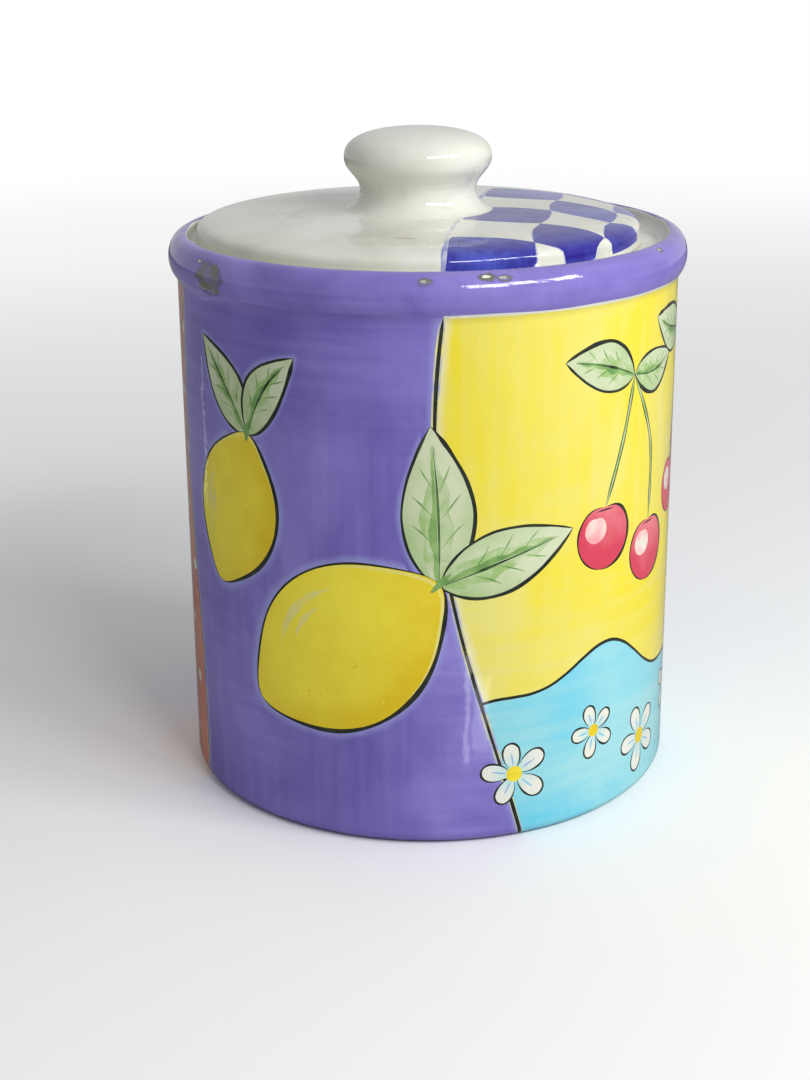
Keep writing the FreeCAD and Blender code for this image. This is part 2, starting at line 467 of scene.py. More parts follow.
def blossom(painting, middle, radius):
    """A painted blossom of five white petals about a yellow eye."""
    draw = painting.rng.uniform
    first = draw(0, math.tau)
    for petal in turns(5):
        turn = first + petal + draw(-0.07, 0.07)
        reach = radius * draw(0.92, 1.06)
        place = (*turned_by((*middle, turn), reach * 0.58, 0), turn, reach * 0.44, reach * 0.27)
        edge = [turned_by(place, place[3] * math.cos(t), place[4] * math.sin(t) * (1 + 0.25 * math.cos(t)))
                for t in turns(28)]
        painting.shape(edge, "petal_paint", place)
        painting.line((edge[-13:] + edge[:14])[::3], 0.75, "ink", 0.3)
        vein = (turned_by(place, -place[3] * 0.7, 0), turned_by(place, place[3] * 0.3, draw(-0.4, 0.4)))
        painting.line(vein, 0.6, "petal_line", 0.4)
    eye = oval(middle, radius * 0.24, radius * 0.24, 24)
    painting.shape(eye, "lemon_shade", (*middle, 0, radius, radius))
    painting.line(eye[::3] + eye[:1], 0.6, "ink", 0.3)


# Node trees

class Signal:
    """An output in a node tree. The signs of arithmetic make math nodes from it."""

    def __init__(self, tree, socket):
        self.tree, self.socket = tree, socket

    def reckoned(self, operation, *values):
        return node(self.tree, "ShaderNodeMath", dict(enumerate(values)), operation=operation)

    def __add__(self, other):
        return self.reckoned("ADD", self, other)

    def __sub__(self, other):
        return self.reckoned("SUBTRACT", self, other)

    def __rsub__(self, other):
        return self.reckoned("SUBTRACT", other, self)

    def __mul__(self, other):
        return self.reckoned("MULTIPLY", self, other)

    def __truediv__(self, other):
        return self.reckoned("DIVIDE", self, other)

    def into(self, socket):
        self.tree.links.new(self.socket, socket)


def node(tree, kind, inputs=(), **settings):
    """The first output of a new node, whose inputs take values or signals by their name or place."""
    made = tree.nodes.new(kind)
    for name, value in settings.items():
        setattr(made, name, value)
    for key, value in dict(inputs).items():
        socket = made.inputs[key] if isinstance(key, int) else next(
            socket for socket in made.inputs if socket.name == key and socket.enabled)
        if isinstance(value, Signal):
            value.into(socket)
        else:
            socket.default_value = value
    return Signal(tree, next((socket for socket in made.outputs if socket.enabled), None))


def signals(tree, outputs, names):
    return [Signal(tree, outputs[name]) for name in names]


# Meshes

def new_object(name, data):
    piece = bpy.data.objects.new(name, data)
    bpy.context.scene.collection.objects.link(piece)
    return piece


def painted_sheet(painting, paints, to_place):
    """A bmesh of the drawing, laid on the turned surface by to_place, and the facing of each vertex."""
    points, faces, tops = painting.solved()
    sheet = bmesh.new()
    local = sheet.loops.layers.uv.new(PAINT_MAP)
    placed = [to_place(point) for point in points]
    vertices = [sheet.verts.new(place) for place, _ in placed]
    for face, top in zip(faces, tops):
        paint, place = painting.shapes[top][1:3] if top is not None else (None, None)
        if paint is None:
            continue
        made = sheet.faces.new([vertices[i] for i in face])
        made.material_index = paints.index(paint)
        made.smooth = True
        for loop, i in zip(made.loops, face):
            loop[local].uv = place(points[i]) if callable(place) else in_motif(place, points[i])
    return sheet, [normal for _, normal in placed]


def turning_tree():
    """A geometry tree that turns the object's outline, a row of points, about the upright axis."""
    tree = bpy.data.node_groups.new("Turned ware", "GeometryNodeTree")
    face = tree.interface
    inputs = {"Geometry": "Geometry", "Columns": "Int", "Centre": "Vector", "Glaze": "Material"}
    for label, kind in inputs.items():
        face.new_socket(label, in_out="INPUT", socket_type="NodeSocket" + kind)
    face.new_socket("Geometry", in_out="OUTPUT", socket_type="NodeSocketGeometry")
    source, result = tree.nodes.new("NodeGroupInput"), tree.nodes.new("NodeGroupOutput")
    outline, columns, centre, glaze = signals(tree, source.outputs, inputs)
    rows = node(tree, "GeometryNodeAttributeDomainSize", {"Geometry": outline})
    index = node(tree, "GeometryNodeInputIndex")
    column = index.reckoned("FLOOR", index / rows)
    point = node(tree, "GeometryNodeSampleIndex", {
        "Geometry": outline, "Value": node(tree, "GeometryNodeInputPosition"),
        "Index": index.reckoned("MODULO", index, rows)}, data_type="FLOAT_VECTOR")
    turned = node(tree, "ShaderNodeVectorRotate", {
        "Vector": point, "Angle": column / columns * math.tau}, rotation_type="Z_AXIS")
    grid = node(tree, "GeometryNodeMeshGrid", {"Vertices X": columns + 1, "Vertices Y": rows})
    mesh = node(tree, "GeometryNodeSetPosition", {
        "Geometry": grid, "Position": node(tree, "ShaderNodeVectorMath", {0: turned, 1: centre})})
    mesh = node(tree, "GeometryNodeMergeByDistance", {"Geometry": mesh, "Distance": 1e-6})
    mesh = node(tree, "GeometryNodeSetShadeSmooth", {"Geometry": mesh})
    mesh = node(tree, "GeometryNodeRealizeInstances", {"Geometry": mesh})
    mesh = node(tree, "GeometryNodeSetMaterial", {"Geometry": mesh, "Material": glaze})
    mesh.into(result.inputs["Geometry"])
    return tree


def turned(outline, paint, middle=0.0):
    """A plain mesh of the outline turned about an upright axis, which stands at middle from left to right."""
    tree = bpy.data.node_groups.get("Turned ware") or turning_tree()
    row = bpy.data.meshes.new("outline")
    row.from_pydata([(radius * MM, 0, height * MM) for radius, height in outline],
                    [(i, i + 1) for i in range(len(outline) - 1)], [])
    piece = new_object("outline", row)
    modifier = piece.modifiers.new("Turned ware", "NODES")
    modifier.node_group = tree
    sockets = {s.name: s.identifier for s in tree.interface.items_tree if s.in_out == "INPUT"}
    modifier[sockets["Columns"]] = COLUMNS
    modifier[sockets["Centre"]] = (middle * MM, 0.0, 0.0)
    modifier[sockets["Glaze"]] = bpy.data.materials[paint]
    mesh = bpy.data.meshes.new_from_object(piece.evaluated_get(bpy.context.evaluated_depsgraph_get()))
    mesh["paint"] = paint
    piece.modifiers.remove(modifier)
    bpy.data.objects.remove(piece)
    return mesh


def finished_piece(name, sheet, normals, turned_meshes, paints):
    """One mesh of a painted sheet and turned stretches, welded where their edges meet."""
    facing = sheet.verts.layers.float_vector.new("facing")
    for vertex, normal in zip(sheet.verts, normals):
        vertex[facing] = normal
    for mesh in turned_meshes:
        first = len(sheet.faces)
        sheet.from_mesh(mesh)
        sheet.faces.ensure_lookup_table()
        for face in sheet.faces[first:]:
            face.material_index = paints.index(mesh["paint"])
        bpy.data.meshes.remove(mesh)
    bmesh.ops.delete(sheet, geom=[v for v in sheet.verts if not v.link_faces], context="VERTS")
    edge = list({v for e in sheet.edges if e.is_boundary for v in e.verts})
    bmesh.ops.remove_doubles(sheet, verts=edge, dist=2e-5)
    mesh = bpy.data.meshes.new(name)
    sheet.to_mesh(mesh)
    sheet.free()
    for paint in paints:
        mesh.materials.append(bpy.data.materials[paint])
    given = [tuple(value.vector) for value in mesh.attributes["facing"].data]
    mesh.attributes.remove(mesh.attributes["facing"])
    mesh.normals_split_custom_set_from_vertices(given)
    return new_object(name, mesh)


# Materials

def linear(shown):
    """A colour as it looks on a screen, turned into the light that it sends back."""
    return tuple(((c + 0.055) / 1.055) ** 2.4 if c > 0.04 else c / 12.92 for c in shown) + (1.0,)


def noise(place, scale, detail=3.0, roughness=0.55, distortion=0.0):
    return node(place.tree, "ShaderNodeTexNoise", {
        "Vector": place, "Scale": scale, "Detail": detail, "Roughness": roughness, "Distortion": distortion})


def spread(value, low, high):
    """The value stretched so that low becomes 0 and high becomes 1."""
    return node(value.tree, "ShaderNodeMapRange", {"Value": value, "From Min": low, "From Max": high},
                interpolation_type="SMOOTHSTEP")


def stretched(place, across, up):
    """Object coordinates scaled apart for the level directions and for the height."""
    return node(place.tree, "ShaderNodeVectorMath", {0: place, 1: (across, across, up)}, operation="MULTIPLY")


def blended(share, first, second):
    return node(share.tree, "ShaderNodeMix", {"Factor": share, "A": first, "B": second}, data_type="RGBA")


def object_place(tree):
    return Signal(tree, tree.nodes.new("ShaderNodeTexCoord").outputs["Object"])


def paint_map(tree):
    """The place along and across a motif, in the paint map."""
    local = node(tree, "ShaderNodeUVMap", uv_map=PAINT_MAP)
    return signals(tree, node(tree, "ShaderNodeSeparateXYZ", {0: local}).socket.node.outputs, (0, 1))


def brushed_wash(place, thick, thin, scale, streaks, balance):
    """Thin paint under glaze: soft clouds, and level and upright brush marks in patches."""
    cloud = noise(place, scale, 4.0, 0.5, 0.6)
    level = noise(stretched(place, 20.0, 300.0), 1.0, 3.0, 0.5)
    upright = noise(stretched(place, 250.0, 17.0), 1.0, 3.0, 0.5)
    patches = spread(noise(place, 11.0, 1.0), 0.4, 0.6)
    bristles = level * patches + upright * (1.0 - patches)
    share = (cloud - 0.5 + (bristles - 0.5) * streaks) * 2.6 + balance
    return {"Color": blended(share, thick, thin)}


def soft_edge(place, strength):
    """Where a painted edge pales: all of it at 0 of the paint map's height, and none at 1."""
    _, height = paint_map(place.tree)
    away = height + (noise(place, 60.0, 3.0) - 0.5) * 0.7
    mask = (1.0 - spread(away, 0.05, 0.85)) * (1.0 - spread(height, 0.7, 1.0))
    return {"Mask": mask * strength}


def smudges(place, glaze, smudge, amount):
    """A white glaze with rare thin smudges that the brush left on it."""
    rare = spread(noise(place, 30.0, 2.0, 0.6, 0.8), 0.56, 0.7)
    grain = spread(noise(stretched(place, 140.0, 60.0), 1.0, 4.0, 0.65), 0.4, 0.7)
    return {"Color": blended(rare * grain * amount, glaze, smudge)}


def rounded_wash(place, light, deep, along, across, edge):
    """A wash that is laid round one motif: it darkens to one side and along the motif's edge."""
    x, y = paint_map(place.tree)
    reach = x.reckoned("SQRT", x * x + y * y)
    cloud = (noise(place, 70.0, 4.0) - 0.5) * 1.1
    share = spread(reach, 0.45, 1.05) * edge + (x * along + y * across) + cloud + 0.16
    return {"Color": blended(share, light, deep)}


def glaze_skin(place, waves, peel):
    """The surface of a thick glaze: slow waves, a fine orange peel and rare pinholes."""
    pits = spread(noise(place, 900.0, 0.0), 0.79, 0.83)
    height = noise(place, 75.0, 3.0, 0.42) * waves + noise(place, 520.0, 2.0, 0.5) * peel * 0.02 - pits * 0.1
    smear = spread(noise(place, 38.0, 3.0), 0.35, 0.75)
    return {"Height": height, "Roughness": smear * 0.06 + 0.05}


# What a group's colour inputs hold until a material sets them
GREY = (0.5, 0.5, 0.5, 1)
GROUPS = (
    (brushed_wash, {"Thick": GREY, "Thin": GREY, "Cloud scale": 30.0, "Streaks": 0.5, "Balance": 0.5}),
    (soft_edge, {"Strength": 1.0}),
    (smudges, {"Glaze": GREY, "Smudge": GREY, "Amount": 0.5}),
    (rounded_wash, {"Light": GREY, "Deep": GREY, "Along": 0.0, "Across": -0.3, "Edge": 0.5}),
    (glaze_skin, {"Waves": 1.0, "Peel": 1.0}),
)


def make_group(effect, inputs):
    """A shader group that is named for its effect and holds it, with named inputs and outputs."""
    tree = bpy.data.node_groups.new(effect.__name__, "ShaderNodeTree")
    for label, value in inputs.items():
        kind = "NodeSocketColor" if value is GREY else "NodeSocketFloat"
        tree.interface.new_socket(label, in_out="INPUT", socket_type=kind).default_value = value
    source = tree.nodes.new("NodeGroupInput")
    outputs = effect(object_place(tree), *signals(tree, source.outputs, inputs))
    for label in outputs:
        kind = "NodeSocketColor" if label == "Color" else "NodeSocketFloat"
        tree.interface.new_socket(label, in_out="OUTPUT", socket_type=kind)
    result = tree.nodes.new("NodeGroupOutput")
    for label, signal in outputs.items():
        signal.into(result.inputs[label])


def applied(tree, effect, values):
    """The first output of a node that uses a shader group."""
    return node(tree, "ShaderNodeGroup", values, node_tree=bpy.data.node_groups[effect])


def shader_of(material):
    material.use_nodes = True
    return next(made for made in material.node_tree.nodes if made.type == "BSDF_PRINCIPLED")


def coated(name, matte=False):
    """The tree and the shader of a new material, glazed or matte."""
    material = bpy.data.materials.new(name)
    shader = shader_of(material)
    tree = material.node_tree
    height = applied(tree, "glaze_skin", {"Waves": 0.35, "Peel": 9.0} if matte else {})
    node(tree, "ShaderNodeBump", {"Height": height, "Distance": 0.0004}).into(shader.inputs["Normal"])
    if matte:
        shader.inputs["Roughness"].default_value = 0.85
        shader.inputs["Specular IOR Level"].default_value = 0.2
    else:
        signals(tree, height.socket.node.outputs, ["Roughness"])[0].into(shader.inputs["Roughness"])
        shader.inputs["IOR"].default_value = 1.5
    return tree, shader


def washed(name, thick, thin, scale, streaks, balance, matte=False, finish=lambda wash: wash):
    """A material of thin paint in clouds and brush marks, to which finish may add."""
    tree, shader = coated(name, matte)
    finish(applied(tree, "brushed_wash", {
        "Thick": linear(thick), "Thin": linear(thin),
        "Cloud scale": scale, "Streaks": streaks, "Balance": balance,
    })).into(shader.inputs["Base Color"])


def edged(name, thick, thin, pale, strength, scale, streaks, balance):
    """The paint of a field, paler towards a painted line."""
    washed(name, thick, thin, scale, streaks, balance, finish=lambda wash: blended(
        applied(wash.tree, "soft_edge", {"Strength": strength}), wash, linear(pale)))


def smudged(name, glaze, shade, smudge, amount):
    """The white glaze of the lid and the knob."""
    washed(name, shade, glaze, 24.0, 0.1, 0.86, finish=lambda wash: applied(
        wash.tree, "smudges", {"Glaze": wash, "Smudge": linear(smudge), "Amount": amount}))


def rounded(name, light, deep, along, across, edge):
    """A material that is shaded across one motif."""
    tree, shader = coated(name)
    applied(tree, "rounded_wash", {
        "Light": linear(light), "Deep": linear(deep), "Along": along, "Across": across, "Edge": edge,
    }).into(shader.inputs["Base Color"])


def make_materials(c):
    if bpy.data.node_groups.get("glaze_skin"):
        return
    for effect, inputs in GROUPS:
        make_group(effect, inputs)
    washed("white_glaze", c.glaze_shade, c.glaze, 16.0, 0.08, 0.9)
    smudged("lid_white", c.glaze, c.glaze_shade, c.smudge, 0.85)
    smudged("knob_white", c.glaze, c.glaze_shade, c.smudge, 0.3)
    washed("violet", c.violet_deep, c.violet, 20.0, 0.36, 0.55)
    edged("violet_halo", c.violet_deep, c.violet, c.violet_pale, 0.75, 20.0, 0.36, 0.55)
    edged("yellow_edge", c.yellow, c.yellow_pale, c.glaze, 0.6, 18.0, 0.4, 0.42)
    washed("edge_light", c.violet_pale, c.yellow_pale, 90.0, 0.5, 0.5)
    washed("worn_edge", c.violet_deep, c.worn, 420.0, 0.2, 0.4)
    washed("rim_violet", c.violet_deep, c.violet, 30.0, 0.3, 0.66)
    washed("violet_line", c.ink, c.violet_deep, 90.0, 0.3, 0.75)
    washed("yellow", c.yellow, c.yellow_pale, 18.0, 0.4, 0.42)
    washed("turquoise", c.turquoise, c.turquoise_pale, 20.0, 0.4, 0.5)
    washed("terracotta", c.terracotta, c.terracotta_pale, 26.0, 0.45, 0.45)
    washed("ink", c.ink, c.ink_thin, 150.0, 0.4, 0.2)
    washed("leaf_wash", c.leaf_mid, c.leaf, 120.0, 0.7, 0.34)
    washed("leaf_shade", c.leaf_deep, c.leaf_mid, 120.0, 0.7, 0.4)
    washed("leaf_line", c.ink, c.leaf_deep, 120.0, 0.6, 0.4)
    rounded("leaf_paint", c.leaf, c.leaf_mid, -0.3, 0.0, 0.25)
    rounded("lemon_paint", c.lemon, c.lemon_deep, 0.1, -0.5, 0.42)
    washed("lemon_shade", c.lemon_deep, c.lemon, 90.0, 0.6, 0.35)
    washed("lemon_light", c.lemon, c.yellow_pale, 70.0, 0.5, 0.7)
    rounded("cherry_paint", c.cherry, c.cherry_pale, 0.0, 0.25, -0.1)
    washed("cherry_light", c.cherry_pale, c.glaze, 120.0, 0.5, 0.5)
    rounded("petal_paint", c.glaze, c.turquoise_pale, -0.5, 0.0, 0.1)
    washed("petal_line", c.turquoise, c.violet_pale, 120.0, 0.4, 0.4)
    washed("cobalt_paint", c.cobalt, c.cobalt_pale, 34.0, 0.5, 0.22)
    washed("cobalt_edge", c.cobalt_pale, c.glaze, 60.0, 0.4, 0.62)
    washed("bare_clay", c.clay, c.glaze_shade, 90.0, 0.3, 0.4, matte=True)
    washed("chipped_rim", c.chip, c.glaze_shade, 320.0, 0.3, 0.5)
    washed("worn_rim", c.worn, c.violet, 160.0, 0.4, 0.14)


JAR_PAINTS = [
    "white_glaze", "violet", "violet_halo", "rim_violet", "yellow", "turquoise", "terracotta", "ink",
    "leaf_paint", "leaf_wash", "leaf_shade", "leaf_line", "lemon_paint", "lemon_shade", "lemon_light",
    "cherry_paint", "cherry_light", "petal_paint", "petal_line", "bare_clay", "chipped_rim", "worn_rim",
    "worn_edge", "violet_line", "yellow_edge", "edge_light",
]
LID_PAINTS = ["lid_white", "white_glaze", "cobalt_paint", "cobalt_edge", "bare_clay"]
KNOB_PAINTS = ["knob_white", "bare_clay"]


# The jar's outlines and its painting

def body_radius(sizes):
    return RIM_RADIUS - sizes.rim_overhang


def ledge_level(sizes):
    return RIM_TOP - sizes.lip_round - sizes.cove


def jar_outside(sizes):
    """The outline from the foot ring up the wall, over the rim and down its cove to the ledge."""
    radius = body_radius(sizes)
    crest = (RIM_RADIUS - sizes.rim_width, RIM_TOP - sizes.rim_height)
    meets = -math.acos(1 - sizes.rim_overhang / sizes.rim_width)
    leaves = meets + sizes.rim_crease / sizes.rim_height

    def roll(turn):
        return (crest[0] + sizes.rim_width * math.cos(turn), crest[1] + sizes.rim_height * math.sin(turn))

    crease = (radius, roll(meets)[1] - sizes.rim_crease)
    slope = Vector((-sizes.rim_width * math.sin(leaves), sizes.rim_height * math.cos(leaves))).normalized()
    lip = (crest[0] - sizes.lip_round, RIM_TOP - sizes.lip_round)
    corner = sizes.foot_corner
    outline = Outline(joined(
        arc((radius - corner, corner), corner, -90, 0),
        stretch((radius, corner), crease, 5.5),
        bend(crease, (0, 1), roll(leaves), slope, 7),
        [roll(turn) for turn in steps(leaves, math.pi / 2, 26)],
        arc((crest[0], lip[1]), sizes.lip_round, 90, 180, 4),
        arc((lip[0] - sizes.cove, lip[1]), sizes.cove, 0, -90),
    ), corner * (1 - math.pi / 2))
    outline.facing[0] = Vector((0, -1))
    outline.facing[-1] = Vector((0, 1))
    return outline


def jar_inside(sizes, ledge_edge):
    """The outline from the cove's foot over the ledge and down the inner wall to the floor's middle."""
    throat = ledge_edge[0] - sizes.ledge
    inner = body_radius(sizes) - sizes.wall
    below = ledge_edge[1] - sizes.ledge_depth
    floor = sizes.foot_recess + sizes.wall
    corner = (inner - sizes.floor_corner, floor + sizes.floor_corner)
    return joined(
        softened([ledge_edge, (throat, ledge_edge[1]), (throat, below)], sizes.lip_round),
        bend((throat, below), (0, -1), (inner, below - sizes.haunch), (0, -1), 14),
        stretch((inner, below - sizes.haunch), (inner, corner[1]), 12),
        arc(corner, sizes.floor_corner, 0, -90, 6),
        stretch((corner[0], floor), (0, floor), 12),
    )


def jar_underside(sizes):
    """The outlines of the glazed recess and of the bare foot ring round it."""
    outer = body_radius(sizes) - sizes.foot_corner
    inner = outer - sizes.foot_width
    recess = sizes.foot_recess
    under = softened([(0, recess), (inner - recess, recess), (inner, 0), (outer, 0)], 0.6)
    split = next(i for i, point in enumerate(under) if point[1] < 0.3)
    return under[:split + 1], under[split:]


def on_jar(outline, radius):
    """Lays a point of the jar's painting, its distance round from the front and its height, on the jar."""
    def lay(point):
        reach, height, facing = outline.at(point[1])
        sin, cos = math.sin(point[0] / radius), math.cos(point[0] / radius)
        place = Vector((reach * sin, -reach * cos, height)) * MM
        return place, Vector((facing.x * sin, -facing.x * cos, facing.y)).normalized()
    return lay


# Motifs round the body, in millimetres round from the front and up from the table
LEMONS = (
    ((-30, 72), 0.62, 84, 58), ((-76, 114), 1.25, 60, 43),
    ((-218, 72), 0.75, 80, 56), ((-254, 120), 1.7, 58, 42),
)
# Pairs of cherries, and where their two stalks meet
CHERRIES = (
    (((66, 106), (93, 95)), 12.5, (80, 160)),
    (((132, 128), (118, 112)), 11.5, (128, 168)),
)
BLOSSOMS = (
    ((30, 25), 12.5), ((63, 34), 10), ((92, 22), 13), ((125, 32), 11), ((160, 26), 11),
    ((186, 70), 14), ((204, 122), 12), ((180, 160), 11), ((210, 24), 12),
)
# Worn places on the rolled rim: middle as a distance round and a height, width, height, paint and core
WORN_PLACES = (
    ((-81.5, 193.2), 14, 8.6, "worn_rim", None), ((-88.4, 197.6), 3.4, 1.4, "worn_rim", "white_glaze"),
    ((-0.8, 198.3), 4.2, 2.2, "worn_rim", "chipped_rim"), ((19, 199.3), 5.4, 2.4, "worn_rim", "white_glaze"),
    ((24.4, 199.0), 5, 2, "worn_rim", "chipped_rim"), ((94.7, 199.8), 3.2, 2.2, "worn_rim", "chipped_rim"),
    ((158, 196), 5, 2.6, "worn_rim", "chipped_rim"), ((-205, 197), 7, 3, "worn_rim", None),
)


def lemon_leaves(middle, turn, size):
    """The stalk end, the tip and the width of each of a lemon's two leaves."""
    stalk = turned_by((*middle, turn), size * 0.49, 0)
    for away, reach in ((1.0, 0.66), (-0.3, 0.6)):
        across, up = reach * size * math.cos(turn + away), reach * size * math.sin(turn + away)
        yield stalk, (stalk[0] + across, stalk[1] + up), 0.44 * reach * size


def jar_halos(painting):
    for middle, turn, size, width in LEMONS:
        place, spot = lemon_form(middle, turn, size, width)
        halo(painting, place, lemon_outline(spot), 4.5)
        for leaf_place in lemon_leaves(middle, turn, size):
            place, spot = leaf_form(*leaf_place)
            halo(painting, place, leaf_outline(spot), 3.2)


def jar_fields(painting, low, rim):
    """Fields round the body, whose side lines lean and wave. What it returns is the field for the dots."""
    top = rim - 1.7

    def side(middle, lean, sway, length, shift):
        return lambda v: middle + lean * (v - 90) + sway * math.sin(v / length + shift)

    def field(left, right, low, high, paint, *place):
        heights = between(low, high)
        outline = [(left(v), v) for v in heights] + [(right(v), v) for v in reversed(heights)]
        return painting.shape(outline, paint, *place)

    def pale(line, side, reach, paint):
        def away(point):
            return 0.0, abs(point[0] - line(point[1])) / reach
        field(line, lambda v: line(v) + side * reach, low, top, paint, away)

    def edge(line, side, weight):
        pale(line, side, 4.5, "violet_halo")
        points = [(line(v), v) for v in between(low, top, 12.0)]
        painting.line(points, weight + 1.1, "edge_light", 0.03)
        painting.line(points, weight, "ink", 0.03)

    def shore(u):
        return 50 + 13 * math.sin((u - 20) / 27) + 4 * math.sin(u / 9)

    left = side(-110, -0.03, 4, 30, 0.4)
    back = side(-176, -0.06, 7, 34, 1.0)
    middle = side(20, -0.06, 15, 62, 2.6)
    far = side(150, 0.05, 8, 40, 0.5)
    behind = side(226, -0.05, 6, 36, 2.0)
    for start, end in ((back, left), (middle, far), (far, behind)):
        field(start, end, top, rim, "white_glaze")
    dotted = field(back, left, low, top, "terracotta")
    yellow = field(middle, far, low, top, "yellow")
    pale(middle, 1, 5.0, "yellow_edge")
    field(far, behind, low, top, "turquoise")
    pond = [(-6, low), (174, low)] + [(u, shore(u)) for u in between(174, -6, 3.0)]
    painting.shape(pond, "turquoise", within=yellow)
    for line, side, weight in ((left, 1, 0.9), (middle, -1, 1.2), (behind, 1, 0.9), (back, -1, 0.9)):
        edge(line, side, weight)
    painting.line([(far(v), v) for v in between(low, top, 12.0)], 1.0, "ink", 0.03)
    painting.line([(u, shore(u)) for u in between(170, -6, 7.0)], 1.1, "ink", 0.04, yellow)
    return dotted


def jar_motifs(painting, dotted):
    """Lemons on violet, cherries on yellow, blossoms on turquoise and dots on terracotta."""
    for middle, turn, size, width in LEMONS:
        for leaf_place in lemon_leaves(middle, turn, size):
            leaf(painting, *leaf_place)
        lemon(painting, middle, turn, size, width)
        stub = [turned_by((*middle, turn), size * share, y) for share, y in ((0.45, 0), (0.56, 1.5))]
        painting.line(stub, 2.6, "leaf_shade", 0.5)
    for pair, radius, stalk in CHERRIES:
        for u, v in pair:
            bow = ((u * 2 + stalk[0]) / 3 + 4, v + radius + (stalk[1] - v - radius) * 0.5)
            for weight, paint in ((1.9, "ink"), (0.9, "leaf_wash")):
                painting.line([(u, v + radius * 0.8), bow, stalk], weight, paint, 0.2)
            cherry(painting, (u, v), radius)
        leaf(painting, stalk, (stalk[0] - 33, stalk[1] + 9), 17)
        leaf(painting, stalk, (stalk[0] + 30, stalk[1] + 3), 15)
    for middle, radius in BLOSSOMS:
        blossom(painting, middle, radius)
    draw = painting.rng.uniform
    for row in range(8):
        for column in range(4):
            u, v = -163 + 14 * column + 7 * (row % 2) + draw(-1, 1), 16 + 22 * row + draw(-1, 1)
            radius = draw(2.2, 3.0)
            dot = oval((u, v), radius, radius * 0.9, 20)
            painting.shape(dot, "petal_paint", (u, v, 0, radius, radius), dotted)


def worn_place(painting, middle, across, up, paint, core):
    """A ragged worn patch, with crumbs about it and a bright core where the white shows."""
    draw = painting.rng.uniform

    def ragged(u, v, across, up, paint):
        rough, fine = painting.wave(0.2, 3.4), painting.wave(0.06, 0.9)
        outline = []
        for turn in turns(44):
            cos, sin = math.cos(turn), math.sin(turn)
            reach = max(0.3, 1 + rough(cos * 1.3) + rough(3 + sin * 1.3) + fine(turn)) / 2
            outline.append((u + across * cos * reach, v + up * sin * reach))
        painting.shape(outline, paint)

    ragged(*middle, across * 1.25, up * 1.3, "worn_edge")
    for _ in range(9 if across > 6 else 4):
        turn, reach = draw(0, math.tau), draw(0.9, 1.35) / 2
        spot = (middle[0] + across * reach * math.cos(turn), middle[1] + up * reach * math.sin(turn))
        share = draw(0.08, 0.2)
        ragged(*spot, across * share, max(up * share, 0.3), "worn_edge")
    ragged(*middle, across, up, paint)
    if core:
        ragged(middle[0] - across * 0.1, middle[1] + up * 0.05, across * 0.5, up * 0.5, core)


def rim_and_foot(painting, outline, half, rim):
    """The violet band on the rolled rim, with its worn places, and the bare edge of the foot."""
    bottom = outline.along[0]
    inner = outline.first(lambda point: point[1] > RIM_TOP - 0.02) + 0.6
    under, over = painting.wave(0.3, 90), painting.wave(0.25, 70)
    around = between(-half, half, 3.0)
    lower = [(u, rim - 0.6 + under(abs(u))) for u in around]
    upper = [(u, inner + over(abs(u))) for u in around]
    painting.shape(lower + upper[::-1], "rim_violet")
    painting.shape([(u, v - 0.45) for u, v in upper] + upper[::-1], "violet_line")
    for (u, z), *rest in WORN_PLACES:
        worn_place(painting, (u, outline.first(lambda point: point[1] >= z)), *rest)
    foot = [(u, bottom + 0.9 + 0.5 * under(abs(u))) for u in around]
    painting.shape([(-half, bottom), *foot, (half, bottom)], "bare_clay")


def jar_painting(outline, radius):
    """The whole drawing on the outside of the jar. It reads round from the front, and up."""
    painting = Painting(11)
    half = math.pi * radius
    bottom = outline.along[0]
    painting.points += [(-half + math.tau * radius * column / COLUMNS, s)
                        for column in range(COLUMNS + 1) for s in outline.along]
    rim = outline.first(lambda point: point[0] > radius + 1.6)
    for top, paint in ((outline.along[-1], "white_glaze"), (rim, "violet")):
        painting.shape([(-half, bottom), (half, bottom), (half, top), (-half, top)], paint)
    jar_halos(painting)
    jar_motifs(painting, jar_fields(painting, bottom + 0.4, rim))
    rim_and_foot(painting, outline, half, rim)
    return painting


# The lid's and the knob's outlines, and the lid's painting

# Corners of the lid's painted check, from the front to the back, in four lines
CHECK = (
    ((8.6, -96), (11.4, -57.4), (15.8, -25), (20.9, 3), (25, 28), (29, 53), (32, 78)),
    ((34.5, -90), (38.3, -61.2), (42.0, -32.5), (47, -5), (51, 19), (54.5, 43), (57, 66)),
    ((44, -84), (51.5, -62.5), (62.8, -45), (66.5, -24.5), (70.5, -3), (73, 18), (75, 42)),
    ((60, -84), (72, -62), (79, -41), (95, -20), (98, -4), (100, 14), (100, 30)),
)
# The white margin that the check leaves on its outer side
CHECK_MARGIN = 3.4


def lid_outside(sizes):
    """The outline from under the knob over the dome and down to the lip's foot."""
    ledge = ledge_level(sizes)
    edge = LID_RADIUS - LIP_STEP
    base = ledge + sizes.lid_lip
    outline = Outline(joined(
        stretch((UNDER_KNOB, CROWN), (KNOB_BASE, CROWN), 2),
        dome(base, edge, CROWN - base, DOME_SIDE, DOME_TOP, KNOB_BASE, 34)[::-1],
        arc((edge, base - LIP_STEP), LIP_STEP, 90, 0, 2),
        arc((LID_RADIUS - LIP_ROUND, ledge + LIP_ROUND), LIP_ROUND, 0, -90, 5),
    ), UNDER_KNOB, side=-1)
    outline.facing[0] = Vector((0, 1))
    outline.facing[-1] = Vector((0, -1))
    return outline


